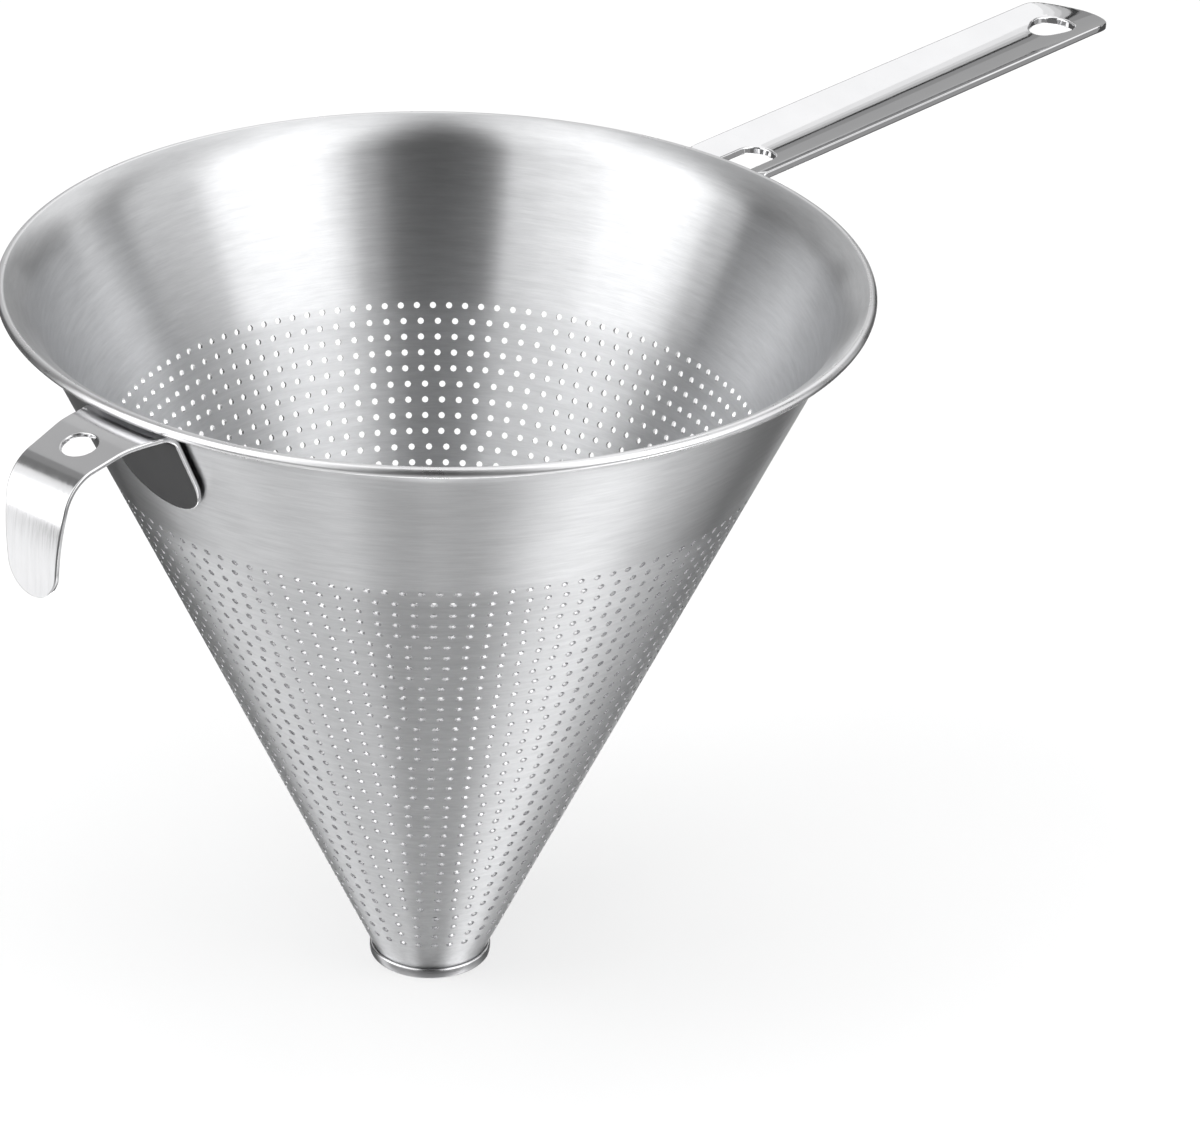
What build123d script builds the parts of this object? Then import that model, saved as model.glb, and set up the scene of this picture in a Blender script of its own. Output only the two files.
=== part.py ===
from build123d import *
import math
import os

os.makedirs("parts", exist_ok=True)

# Chinois strainer, in millimetres. The origin is the centre of the rolled rim,
# +Z is up, +X points along the handle and the rest hook is on the -X side.

# Rim and cone sheet
RIM_OUTER_RADIUS = 100.0
BEAD_DIAMETER = 2.5
BEAD_SIDES = 8
SHEET = 0.8
CONE_HALF_ANGLE = 24.75
FLARE_RADIUS = 15.0
FLARE_TURN = 38.1
FLARE_CHORDS = 3
CONE_END_RADIUS = 13.05

# Perforation of the cone wall: the rows come in groups of one count, and one opening
# has the area of a whole block of the small round holes
HOLE_DIAMETER = 1.5
HOLE_PITCH = 4.0
ROW_PITCH = 3.857
FIRST_ROW_DEPTH = 40.7
PLAIN_BAND = 8.8
ROWS_IN_GROUP = 4
COUNT_STEP = 10
ROWS_PER_OPENING = 6
COLUMNS_PER_OPENING = 5
START_ANGLE = 49.9
DRIFT_ANGLE = 0.42

# Base cap with its crimped skirt
CAP_SHEET = 0.7
SKIRT_HEIGHT = 2.7
SKIRT_CLEARANCE = 0.05
SKIRT_CHAMFER = 0.4
LIP_CHAMFER = 0.2
CAP_HOLE_RINGS = 2
CAP_HOLES_IN_FIRST_RING = 6
CAP_HOLE_SIDES = 4

# Handle
HANDLE_WIDTH = 24.0
HANDLE_SHEET = 2.0
HANDLE_LENGTH = 149.0
HANDLE_EDGE_DROP = 0.2
HANDLE_SLOPE_ANGLE = 0.5
DISH_DEPTH = 2.3
FLAT_LENGTH = 1.0
DISH_RUN = 17.0
SLOT_WIDTH = 9.7
SLOT_LENGTH = 17.7
HANG_HOLE_RADIUS = 5.7
HANG_HOLE_TOE_RADIUS = 4.2
HANG_HOLE_LENGTH = 13.2
HANG_HOLE_MARGIN = 9.6
ROOT_BEND_RADIUS = 4.0
LEG_LENGTH = 20.0
ROOT_SWEEP_ANGLE = 12.0

# Rest hook
HOOK_SHEET = 1.2
HOOK_ROOT_WIDTH = 24.0
HOOK_NECK_WIDTH = 22.2
HOOK_NECK_RUN = 2.0
HOOK_SHOULDER_WIDTH = 20.6
HOOK_DROP_WIDTH = 18.2
HOOK_TIP_WIDTH = 16.4
HOOK_STRAP_LENGTH = 7.0
HOOK_ARC_RADIUS = 19.0
HOOK_TIP_DEPTH = 35.5
HOOK_BEND_RADIUS = 5.0
HOOK_HOLE_RADIUS = 4.1
HOOK_HOLE_RUN = 3.6
FOOT_DEPTH = 27.0

# Fits and spot welds
UNDER_BEAD_GAP = 0.9
WALL_GAP = 0.15
NUGGET_DIAMETER = 4.5
NUGGET_DEPTH = 0.4
NUGGET_SIDES = 8
NUGGET_DEPTHS = (13.0, 20.0)
OVERRUN = 5.0

# Values worked out from the sizes above
lean = math.radians(CONE_HALF_ANGLE)
slope_run = math.tan(lean)
bead_radius = BEAD_DIAMETER / 2
bead_centre = RIM_OUTER_RADIUS - bead_radius
strap_top = -bead_radius - UNDER_BEAD_GAP
flare_start = math.radians(90 - CONE_HALF_ANGLE)
flare_end = flare_start - math.radians(FLARE_TURN)
flare_x = bead_centre + (FLARE_RADIUS - bead_radius) * math.sin(flare_end)
flare_z = -(FLARE_RADIUS - bead_radius) * math.cos(flare_end)


def on_flare(radius, angle):
    """A point of the flared collar's section, with the angle measured from straight up."""
    return (flare_x - radius * math.sin(angle), flare_z + radius * math.cos(angle))


wall_anchor = on_flare(FLARE_RADIUS - SHEET, flare_start)
wall_at_rim = wall_anchor[0] - wall_anchor[1] * slope_run
cone_end = (CONE_END_RADIUS - wall_at_rim) / slope_run
base_level = cone_end - CAP_SHEET
lip_level = base_level + SKIRT_HEIGHT
flat_reach = RIM_OUTER_RADIUS + FLAT_LENGTH
dish_reach = flat_reach + DISH_RUN
slot_reach = RIM_OUTER_RADIUS + SLOT_LENGTH
handle_reach = RIM_OUTER_RADIUS + HANDLE_LENGTH
hook_arc_start = RIM_OUTER_RADIUS + HOOK_STRAP_LENGTH


def wall_radius(z, offset=0):
    """Radius of the straight wall's outer face at a height, moved outward by an offset."""
    return wall_at_rim + z * slope_run + offset / math.cos(lean)


def wall_plane(z, azimuth, offset=0):
    """A plane on the wall's outer face: its normal points outward, its Y runs up the slope."""
    angle = math.radians(azimuth)
    radius = wall_radius(z, offset)
    centre = Vector(radius * math.cos(angle), radius * math.sin(angle), z)
    around = Vector(-math.sin(angle), math.cos(angle), 0)
    level = math.cos(lean)
    outward = Vector(level * math.cos(angle), level * math.sin(angle), -math.sin(lean))
    return Plane(origin=centre, x_dir=around, z_dir=outward)


def strainer_cone():
    """The spun cone: straight wall, flared collar and the rim rolled into a bead."""
    turns = [
        flare_start + (flare_end - flare_start) * chord / FLARE_CHORDS
        for chord in range(FLARE_CHORDS + 1)
    ]
    inner_end = (CONE_END_RADIUS - SHEET / math.cos(lean), cone_end)
    inner = [inner_end] + [on_flare(FLARE_RADIUS, turn) for turn in turns]
    outer = [(CONE_END_RADIUS, cone_end)] + [on_flare(FLARE_RADIUS - SHEET, turn) for turn in turns]
    sheet = make_face(Polyline(*inner, *reversed(outer), close=True))
    bead = Pos(bead_centre, 0) * RegularPolygon(bead_radius, BEAD_SIDES)
    return revolve(Plane.XZ * (sheet + bead), Axis.Z)


def row_heights():
    """Heights of the rows of holes, from the plain collar down to the plain band."""
    step = ROW_PITCH * math.cos(lean)
    room = -FIRST_ROW_DEPTH - (lip_level + PLAIN_BAND)
    return [-FIRST_ROW_DEPTH - step * row for row in range(int(room / step) + 1)]


def group_count(z):
    """Holes in a row of the group that ends at a height, in whole steps."""
    around = 2 * math.pi * wall_radius(z)
    return max(COUNT_STEP * round(around / (HOLE_PITCH * COUNT_STEP)), COUNT_STEP)


def opening_cutter(z):
    """A four-sided cutter through the wall at a height, as large as a block of round holes."""
    side = HOLE_DIAMETER / 2 * math.sqrt(math.pi * ROWS_PER_OPENING * COLUMNS_PER_OPENING)
    reach = side / 2 + 2 * SHEET
    near = wall_radius(z) - reach
    far = wall_radius(z) + reach
    flank = side / 2 / wall_radius(z)
    corners = [(near, -near * flank), (far, -far * flank), (far, far * flank), (near, near * flank)]
    return Pos(0, 0, z) * extrude(Polygon(*corners, align=None), side / 2 * math.cos(lean), both=True)


def opening_cutters():
    """The cutters of all openings. The first row is a group by itself, then come full groups."""
    heights = row_heights()
    first = (ROWS_PER_OPENING + len(heights) % ROWS_PER_OPENING) // 2
    cutters = []
    for row in range(first, len(heights), ROWS_PER_OPENING):
        group = math.ceil(row / ROWS_IN_GROUP)
        last_row = min(group * ROWS_IN_GROUP, len(heights) - 1)
        count = group_count(heights[last_row]) // COLUMNS_PER_OPENING
        cutter = opening_cutter(heights[row])
        start = START_ANGLE - DRIFT_ANGLE * group
        cutters += [Rot(0, 0, start + 360 * turn / count) * cutter for turn in range(count)]
    return cutters


def base_cap():
    """The shallow cup that closes the cone: a perforated disc with a crimped skirt."""
    inner = wall_radius(lip_level, SKIRT_CLEARANCE)
    outer = inner + CAP_SHEET
    outline = Polyline(
        (0, base_level),
        (outer - SKIRT_CHAMFER, base_level),
        (outer, base_level + SKIRT_CHAMFER),
        (outer, lip_level - LIP_CHAMFER),
        (outer - LIP_CHAMFER, lip_level),
        (inner, lip_level),
        (inner, cone_end),
        (0, cone_end),
        close=True,
    )
    cup = revolve(Plane.XZ * make_face(outline), Axis.Z)
    hole = extrude(RegularPolygon(HOLE_DIAMETER / 2, CAP_HOLE_SIDES), CAP_SHEET, both=True)
    places = [Pos(0, 0, base_level)]
    for ring in range(1, CAP_HOLE_RINGS + 1):
        count = CAP_HOLES_IN_FIRST_RING * ring
        for turn in range(count):
            places.append(Rot(0, 0, 360 * turn / count) * Pos(HOLE_PITCH * ring, 0, base_level))
    return cup - [place * hole for place in places]


def root_profile(sheet, bend, leg, strap_end):
    """Side view of a strip that runs down the wall, bends and goes out below the bead."""
    centre_z = strap_top - sheet - bend
    centre_x = wall_radius(centre_z, WALL_GAP + sheet + bend)
    down = Vector(-math.sin(lean), -math.cos(lean))

    def on_bend(radius, share):
        angle = math.pi - lean + (lean - math.pi / 2) * share
        return Vector(centre_x + radius * math.cos(angle), centre_z + radius * math.sin(angle))

    outer = [on_bend(bend + sheet, share) for share in (0, 1 / 2, 1)]
    inner = [on_bend(bend, share) for share in (1, 1 / 2, 0)]
    tip_top = Vector(strap_end, strap_top)
    tip_below = Vector(strap_end, strap_top - sheet)
    outline = [
        Line(outer[0] + down * leg, outer[0]),
        ThreePointArc(*outer),
        Line(outer[2], tip_top),
        Line(tip_top, tip_below),
        Line(tip_below, inner[0]),
        ThreePointArc(*inner),
        Line(inner[2], inner[2] + down * leg),
        Line(inner[2] + down * leg, outer[0] + down * leg),
    ]
    return Plane.XZ * make_face(outline)


def handle_section(reach, top, depth, slope):
    """The handle's cross-section at a reach from the axis, dished by a depth, square to a slope."""
    half = HANDLE_WIDTH / 2
    low = -HANDLE_SHEET
    if depth == 0:
        outline = Polyline((-half, 0), (half, 0), (half, low), (-half, low), close=True)
    else:
        outline = [
            ThreePointArc((-half, 0), (0, -depth), (half, 0)),
            Line((half, 0), (half, low)),
            ThreePointArc((half, low), (0, low - depth), (-half, low)),
            Line((-half, low), (-half, 0)),
        ]
    along = (math.cos(slope), 0, math.sin(slope))
    return Plane(origin=(reach, 0, top), x_dir=(0, 1, 0), z_dir=along) * make_face(outline)


def handle():
    """The slotted, dished handle with its two legs bent down along the wall."""
    slope = math.radians(HANDLE_SLOPE_ANGLE)
    dish_top = -HANDLE_EDGE_DROP + (dish_reach - RIM_OUTER_RADIUS) * math.tan(slope)
    flat = handle_section(flat_reach, strap_top, 0, 0)
    dished = handle_section(dish_reach, dish_top, DISH_DEPTH, slope)
    bar = extrude(dished, (handle_reach - dish_reach) / math.cos(slope) + OVERRUN)
    profile = root_profile(HANDLE_SHEET, ROOT_BEND_RADIUS, LEG_LENGTH, flat_reach + OVERRUN)
    root = Rot(0, 0, -ROOT_SWEEP_ANGLE) * revolve(profile, Axis.Z, 2 * ROOT_SWEEP_ANGLE)
    inboard = extrude(Rectangle(2 * flat_reach, 2 * HANDLE_WIDTH), RIM_OUTER_RADIUS, both=True)
    strip = (root & inboard) + loft([flat, dished], ruled=True) + bar

    end = handle_reach - HANDLE_WIDTH / 2
    outline = Rectangle(end, HANDLE_WIDTH, align=(Align.MIN, Align.CENTER))
    outline += Pos(end, 0) * Circle(HANDLE_WIDTH / 2)
    slot_round = slot_reach - SLOT_WIDTH / 2
    outline -= Rectangle(slot_round, SLOT_WIDTH, align=(Align.MIN, Align.CENTER))
    outline -= Pos(slot_round, 0) * Circle(SLOT_WIDTH / 2)
    hole_far = handle_reach - HANG_HOLE_MARGIN - HANG_HOLE_RADIUS
    hole_near = handle_reach - HANG_HOLE_MARGIN - HANG_HOLE_LENGTH + HANG_HOLE_TOE_RADIUS
    wide = Pos(hole_far, 0) * Circle(HANG_HOLE_RADIUS)
    toe = Pos(hole_near, 0) * Circle(HANG_HOLE_TOE_RADIUS)
    outline -= make_hull([*wide.edges(), *toe.edges()])
    return strip & extrude(outline, RIM_OUTER_RADIUS, both=True)


def drop_profile():
    """Side view of the hook beyond the strap: a quarter turn and a straight drop."""
    centre_z = strap_top - HOOK_ARC_RADIUS
    outer = HOOK_ARC_RADIUS
    inner = HOOK_ARC_RADIUS - HOOK_SHEET
    diagonal = math.sqrt(1 / 2)
    outline = [
        Line((0, inner), (0, outer)),
        ThreePointArc((0, outer), (outer * diagonal, outer * diagonal), (outer, 0)),
        Line((outer, 0), (outer, -HOOK_TIP_DEPTH - centre_z)),
        Line((outer, -HOOK_TIP_DEPTH - centre_z), (inner, -HOOK_TIP_DEPTH - centre_z)),
        Line((inner, -HOOK_TIP_DEPTH - centre_z), (inner, 0)),
        ThreePointArc((inner, 0), (inner * diagonal, inner * diagonal), (0, inner)),
    ]
    return Plane.XZ * (Pos(hook_arc_start, centre_z) * make_face(outline))


def hook_hole():
    """A cutter for the round hole, square to the strap where it starts to turn down."""
    turn = math.asin(HOOK_HOLE_RUN / HOOK_ARC_RADIUS)
    height = strap_top - HOOK_ARC_RADIUS * (1 - math.cos(turn))
    centre = (hook_arc_start + HOOK_HOLE_RUN, 0, height)
    place = Plane(origin=centre, z_dir=(math.sin(turn), 0, math.cos(turn)))
    return extrude(place * Circle(HOOK_HOLE_RADIUS), 2 * HOOK_SHEET, both=True)


def rest_hook():
    """The hook that catches a pot's rim, opposite the handle: foot, strap and tongue."""
    half = HOOK_ROOT_WIDTH / 2
    bend_drop = (HOOK_SHEET + HOOK_BEND_RADIUS) * (1 - math.sin(lean))
    foot_length = (FOOT_DEPTH + strap_top - bend_drop) / math.cos(lean)
    side = root_profile(HOOK_SHEET, HOOK_BEND_RADIUS, foot_length, hook_arc_start)
    strap = extrude(side, half, both=True)
    corners = Rectangle(2 * HOOK_ROOT_WIDTH, HOOK_ROOT_WIDTH) - Circle(half)
    corners -= Rectangle(HOOK_ROOT_WIDTH, HOOK_ROOT_WIDTH, align=(Align.CENTER, Align.MIN))
    foot_round = wall_plane(-FOOT_DEPTH, 0, WALL_GAP) * (Pos(0, half) * corners)
    strap -= extrude(foot_round, 2 * HOOK_SHEET, both=True)

    tip = HOOK_TIP_WIDTH / 2
    tip_centre = -HOOK_TIP_DEPTH + tip
    tongue = Pos(0, tip_centre) * Circle(tip)
    tongue += Polygon(
        (-tip, tip_centre),
        (tip, tip_centre),
        (HOOK_SHOULDER_WIDTH / 2, strap_top),
        (-HOOK_SHOULDER_WIDTH / 2, strap_top),
        align=None,
    )
    drop = extrude(drop_profile(), half, both=True)
    drop &= extrude(Plane.YZ * tongue, 2 * RIM_OUTER_RADIUS)

    far = hook_arc_start + HOOK_ARC_RADIUS
    taper = HOOK_DROP_WIDTH / 2
    neck = RIM_OUTER_RADIUS + HOOK_NECK_RUN
    near_side = [(0, -half), (bead_centre, -half), (neck, -HOOK_NECK_WIDTH / 2), (far, -taper)]
    far_side = [(far, taper), (neck, HOOK_NECK_WIDTH / 2), (bead_centre, half), (0, half)]
    plan = Polygon(*near_side, *far_side, align=None)
    hook = (strap + drop) & extrude(plan, RIM_OUTER_RADIUS, both=True)
    return Rot(0, 0, 180) * (hook - hook_hole())


def nugget(z, azimuth):
    """One spot weld: a thin disc sunk into the wall and into the strip that lies on it."""
    inside = wall_plane(z, azimuth, -NUGGET_DEPTH)
    disc = inside * RegularPolygon(NUGGET_DIAMETER / 2, NUGGET_SIDES)
    return extrude(disc, 2 * NUGGET_DEPTH + WALL_GAP)


def handle_welds():
    """Two spot welds on each leg of the handle."""
    middle = (HANDLE_WIDTH + SLOT_WIDTH) / 4
    welds = []
    for depth in NUGGET_DEPTHS:
        turn = math.degrees(math.asin(middle / wall_radius(-depth)))
        welds += [nugget(-depth, turn), nugget(-depth, -turn)]
    return welds


def hook_welds():
    """Two spot welds, one below the other, on the foot of the hook."""
    return [nugget(-depth, 180) for depth in NUGGET_DEPTHS]


handle_nuggets = handle_welds()
hook_nuggets = hook_welds()
cone = strainer_cone() - opening_cutters() - handle_nuggets - hook_nuggets
nodes = {
    "strainer_cone": cone,
    "base_cap": base_cap(),
    "handle": handle() - handle_nuggets,
    "rest_hook": rest_hook() - hook_nuggets,
    "handle_spot_welds": Compound(children=handle_nuggets),
    "hook_spot_welds": Compound(children=hook_nuggets),
}
for name, solid in nodes.items():
    export_step(solid, f"parts/{name}.step")
    print(name, len(solid.solids()), round(solid.volume, 1), solid.bounding_box())
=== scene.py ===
"""Chinois strainer: perforated cone with a rolled rim, crimped base cap, dished handle and rest hook.

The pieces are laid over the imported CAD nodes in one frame, in metres: the origin is the centre of
the rim, +Z is up, the handle runs along +X and the rest hook is on the -X side.
"""

import math

import bmesh
import bpy
from bpy.props import FloatProperty, FloatVectorProperty, IntProperty, PointerProperty
from mathutils import Matrix, Vector


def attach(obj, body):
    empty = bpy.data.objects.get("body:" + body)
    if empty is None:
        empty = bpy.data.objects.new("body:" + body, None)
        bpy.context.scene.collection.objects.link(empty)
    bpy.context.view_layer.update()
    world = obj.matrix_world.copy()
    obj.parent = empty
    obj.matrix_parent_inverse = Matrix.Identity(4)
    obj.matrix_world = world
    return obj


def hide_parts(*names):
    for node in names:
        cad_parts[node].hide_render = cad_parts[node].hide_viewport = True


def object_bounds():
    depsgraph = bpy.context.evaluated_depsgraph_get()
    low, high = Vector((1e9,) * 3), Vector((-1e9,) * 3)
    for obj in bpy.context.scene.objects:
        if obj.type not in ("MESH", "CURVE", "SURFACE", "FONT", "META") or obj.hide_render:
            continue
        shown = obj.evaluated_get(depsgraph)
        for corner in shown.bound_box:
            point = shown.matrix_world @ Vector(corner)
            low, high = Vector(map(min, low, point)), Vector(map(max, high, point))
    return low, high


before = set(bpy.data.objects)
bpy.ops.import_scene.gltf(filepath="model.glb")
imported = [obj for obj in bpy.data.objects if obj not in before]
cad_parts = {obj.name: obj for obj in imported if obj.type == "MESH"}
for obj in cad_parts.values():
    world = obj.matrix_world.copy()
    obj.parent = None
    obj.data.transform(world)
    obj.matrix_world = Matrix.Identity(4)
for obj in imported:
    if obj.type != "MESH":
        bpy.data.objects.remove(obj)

bl_info = {
    "name": "Chinois strainer",
    "version": (1, 0, 0),
    "blender": (4, 5, 0),
    "location": "3D View > Sidebar > Strainer",
    "description": "Builds a perforated conical strainer with its handle, rest hook and studio stage",
    "category": "Object",
}

CAD_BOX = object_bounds()
BODY = "root"
CLOSE = 1e-6
THIN = 1e-7
LEVEL_FACE = 0.7
SHARP_EDGE = math.radians(38)
FLAT_EDGE = math.radians(1)

# Places in the pieces' lists of finishes
CUT_FACE = 1
BEAD_FACE = 2
LIP_FACE = 1

# Steps of the round shapes
FLARE_STEPS = 12
BEAD_STEPS = 18
CAP_SIDES = 72
CAP_ROUND_STEPS = 5
CAP_HOLE_SIDES = 12
LIP_CUTS = 5
EDGE_STEPS = 3
BEND_STEPS = 12
LEG_STEPS = 4
UPPER_BAND_CUTS = (0.4, 0.75)
LOWER_BAND_CUTS = (1 / 3, 2 / 3, 1)
STRIP_END_STEPS = 32
SLOT_STEPS = 20
HANG_HOLE_STEPS = 24
HANG_TOE_STEPS = 16
HOOK_TIP_STEPS = 28
HOOK_HOLE_SIDES = 32
HOOK_TURN_STEPS = 28
HOOK_CURVE_STEPS = 8

# The hook: straight sides from just before the bend's end, neck beyond the rim, rounding of its edges
HOOK_ROOT_RUN = 0.0005
HOOK_NECK_RUN = 0.002
HOOK_EDGE_SHARE = 0.3

# Cuts of the handle: close ones where its dish begins, then along the dish, at the tip and lengthwise
CLOSE_CUT, CLOSE_CUTS = 0.0005, 20
DISH_CUT, DISH_CUTS = 0.0035, 37
TIP_CUT, TIP_CUTS = 0.0009, 18
SIDE_CUT, SIDE_CUTS = 0.00115, 10


# Sizes and colours

def metres(name, description, default):
    return FloatProperty(name=name, description=description, default=default, unit="LENGTH")


def degrees(name, description, default):
    default = math.radians(default)
    return FloatProperty(name=name, description=description, default=default, subtype="ANGLE")


def tint(name, description, default):
    return FloatVectorProperty(name=name, description=description, default=default, subtype="COLOR")


class ConeSizes(bpy.types.PropertyGroup):
    """Sizes of the spun and perforated cone."""

    rim_radius: metres("Rim radius", "Outer radius of the rolled rim", 0.1)
    bead_radius: metres("Bead radius", "Radius of the rolled bead", 0.00125)
    sheet: metres("Sheet", "Thickness of the cone's sheet", 0.0008)
    half_angle: degrees("Half angle", "Lean of the wall from upright", 24.75)
    flare_radius: metres("Flare radius", "Radius of the flare below the rim", 0.015)
    flare_turn: degrees("Flare turn", "How far the flare turns outward", 38.1)
    end_radius: metres("End radius", "Outer radius of the wall's lower end", 0.01305)
    roll_end: degrees("Roll end", "Angle at which the rolled edge ends, on the outside of the wall", 342)


class HoleSizes(bpy.types.PropertyGroup):
    """Sizes of the punched pattern."""

    radius: metres("Hole radius", "Radius of one punched hole on the inner face", 0.00079)
    taper: metres("Hole taper", "How much wider a hole is on the outer face", 0.00008)
    sides: IntProperty(name="Hole sides", description="Sides of one punched hole", default=8)
    pitch: metres("Hole pitch", "Spacing of the holes along a row", 0.004)
    row_pitch: metres("Row pitch", "Spacing of the rows down the slope", 0.003857)
    first_row_depth: metres("First row depth", "Depth of the first row below the rim", 0.0407)
    rows: IntProperty(name="Rows", description="Rows of holes", default=37)
    rows_in_group: IntProperty(
        name="Rows in a group", description="Rows that share one number of holes", default=4
    )
    count_step: IntProperty(
        name="Count step", description="Holes that each group has fewer than the one above", default=10
    )
    start_angle: degrees("Start angle", "Azimuth at which the columns line up", 49.9)
    drift_angle: degrees("Drift angle", "How far the start moves from group to group", 0.42)
    seam: metres("Seam", "Plain strip between two groups", 0.0006)


class CapSizes(bpy.types.PropertyGroup):
    """Sizes of the crimped base cap."""

    sheet: metres("Cap sheet", "Thickness of the cap's sheet", 0.0007)
    height: metres("Skirt height", "Height of the crimped skirt", 0.0027)
    clearance: metres("Skirt clearance", "Gap between skirt and wall", 0.00005)
    lower_round: metres("Lower round", "Radius of the skirt's lower edge", 0.0006)
    hole_rings: IntProperty(name="Hole rings", description="Rings of holes round the middle one", default=2)
    holes_in_ring: IntProperty(name="Holes in a ring", description="Holes of the first ring", default=6)


class StripSizes(bpy.types.PropertyGroup):
    """Sizes of the two strips that are bent below the rim."""

    under_bead_gap: metres("Gap below the bead", "Air between bead and strip", 0.0009)
    wall_gap: metres("Gap to the wall", "Air between the wall and a strip", 0.00015)
    width: metres("Width", "Width of the handle and of the hook's root", 0.024)
    edge_round: metres("Edge round", "Radius of the handle's polished edges", 0.00045)
    handle_sheet: metres("Handle sheet", "Thickness of the handle", 0.002)
    handle_length: metres("Handle length", "Reach of the handle beyond the rim", 0.149)
    handle_bend: metres("Handle bend", "Inner radius of the handle's bend", 0.004)
    leg_length: metres("Leg length", "Length of the legs on the wall", 0.02)
    edge_drop: metres("Edge drop", "Depth of the handle's edges below the rim's middle", 0.0002)
    slope: degrees("Slope", "Rise of the handle", 0.5)
    dish_depth: metres("Dish depth", "Depth of the handle's dish", 0.0023)
    flat_length: metres("Flat length", "Flat stretch of the handle beyond the rim", -0.0007)
    dish_run: metres("Dish run", "Stretch over which the dish begins", 0.0037)
    tip_run: metres("Tip run", "Stretch over which the dish fades out", 0.014)
    tip_drop: metres("Tip drop", "Fall of the handle's tip", 0.0016)
    tip_dish: FloatProperty(
        name="Tip dish", description="Share of the dish that is left at the tip", default=0.35
    )
    slot_width: metres("Slot width", "Width of the handle's slot", 0.0097)
    slot_length: metres("Slot length", "Reach of the slot beyond the rim", 0.0177)
    hang_hole_radius: metres("Hanging hole radius", "Radius of the hole's wide end", 0.0057)
    hang_hole_toe: metres("Hanging hole toe", "Radius of the hole's narrow end", 0.0042)
    hang_hole_length: metres("Hanging hole length", "Length of the hole", 0.0132)
    hang_hole_margin: metres("Hanging hole margin", "Metal beyond the hole", 0.0096)
    hook_sheet: metres("Hook sheet", "Thickness of the hook", 0.0012)
    hook_bend: metres("Hook bend", "Inner radius of the hook's bend", 0.005)
    foot_depth: metres("Foot depth", "Depth of the foot's end below the rim", 0.027)
    hook_strap: metres("Hook strap", "Level strap beyond the rim", 0.0045)
    hook_fall: degrees("Hook fall", "Fall of the hook's sloping stretch", 13.5)
    hook_fall_radius: metres("Hook fall radius", "Radius between strap and slope", 0.02)
    hook_slope: metres("Hook slope", "Length of the hook's sloping stretch", 0.0073)
    hook_turn: degrees("Hook turn", "Angle at the end of the hook's turn", 77)
    hook_turn_radius: metres("Hook turn radius", "Outer radius of the hook's turn", 0.0104)
    tongue_turn: degrees("Tongue turn", "Angle at the tongue's end", 89)
    tongue_radius: metres("Tongue radius", "Radius of the tongue's faint curve", 0.06)
    tip_depth: metres("Tip depth", "Depth of the hook's tip below the rim", 0.034)
    neck_half: metres("Neck half width", "Half width of the strap beside the rim", 0.0111)
    slope_half: metres("Slope half width", "Half width where the slope begins", 0.0101)
    turn_half: metres("Turn half width", "Half width where the turn begins", 0.0093)
    tongue_half: metres("Tongue half width", "Half width where the tongue begins", 0.009)
    tip_radius: metres("Tip radius", "Radius of the tongue's round end", 0.0076)
    hook_hole_radius: metres("Hook hole radius", "Radius of the hook's hole", 0.0041)
    hook_hole_run: metres("Hook hole run", "Place of the hole beyond the strap", 0.0064)


class SteelColours(bpy.types.PropertyGroup):
    """Colours of the finishes and of the stage."""

    brushed: tint("Brushed", "Colour of the brushed cone", (0.70, 0.705, 0.715))
    polished: tint("Polished", "Colour of handle, rim and cut edges", (0.80, 0.80, 0.81))
    satin: tint("Satin", "Colour of the rest hook", (0.68, 0.68, 0.69))
    # The cap's colour is darker than the steel it is pressed from: painted shade on the cup and skirt,
    # beside the bright lip
    cap: tint("Cap", "Colour of the base cap", (0.5, 0.5, 0.51))
    weld: tint("Weld", "Colour of the spot welds", (0.52, 0.51, 0.50))
    floor: tint("Floor", "Colour of the floor", (0.90, 0.90, 0.90))


SIZE_GROUPS = {
    "chinois_cone": ConeSizes,
    "chinois_holes": HoleSizes,
    "chinois_cap": CapSizes,
    "chinois_strips": StripSizes,
    "chinois_colours": SteelColours,
}


# The cone's form, which every piece is placed by

class ConeForm:
    """Places on the cone's section, worked out from the sizes."""

    def __init__(self, cone):
        self.lean = cone.half_angle
        self.sheet = cone.sheet
        self.bead_radius = cone.bead_radius
        self.flare_radius = cone.flare_radius
        self.flare_angle = cone.half_angle + cone.flare_turn
        self.bead_centre = cone.rim_radius - cone.bead_radius
        reach = cone.flare_radius - cone.bead_radius
        self.flare_x = self.bead_centre + reach * math.cos(self.flare_angle)
        self.flare_z = -reach * math.sin(self.flare_angle)
        anchor_x, anchor_z = self.on_flare(self.lean)
        self.inner_at_rim = anchor_x - anchor_z * math.tan(self.lean)
        self.outer_at_rim = self.inner_at_rim + cone.sheet / math.cos(self.lean)
        self.end_height = (cone.end_radius - self.outer_at_rim) / math.tan(self.lean)

    def on_flare(self, angle):
        """Radius and height on the flare's inner face, where the wall leans by an angle."""
        return (
            self.flare_x - self.flare_radius * math.cos(angle),
            self.flare_z + self.flare_radius * math.sin(angle),
        )

    def on_bead(self, angle):
        """Radius and height on the rolled bead, where the sheet leans by an angle."""
        return (
            self.bead_centre - self.bead_radius * math.cos(angle),
            self.bead_radius * math.sin(angle),
        )

    def inner_radius(self, height):
        return self.inner_at_rim + height * math.tan(self.lean)

    def outer_radius(self, height, offset=0.0):
        return self.outer_at_rim + height * math.tan(self.lean) + offset / math.cos(self.lean)


def on_ring(radius, azimuth, height):
    return Vector((radius * math.cos(azimuth), radius * math.sin(azimuth), height))


# Mesh helpers

def new_verts(made):
    return [item for item in made if isinstance(item, bmesh.types.BMVert)]


def new_edges(made):
    return [item for item in made if isinstance(item, bmesh.types.BMEdge)]


def add_object(name, data):
    item = bpy.data.objects.new(name, data)
    bpy.context.scene.collection.objects.link(item)
    return item


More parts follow.
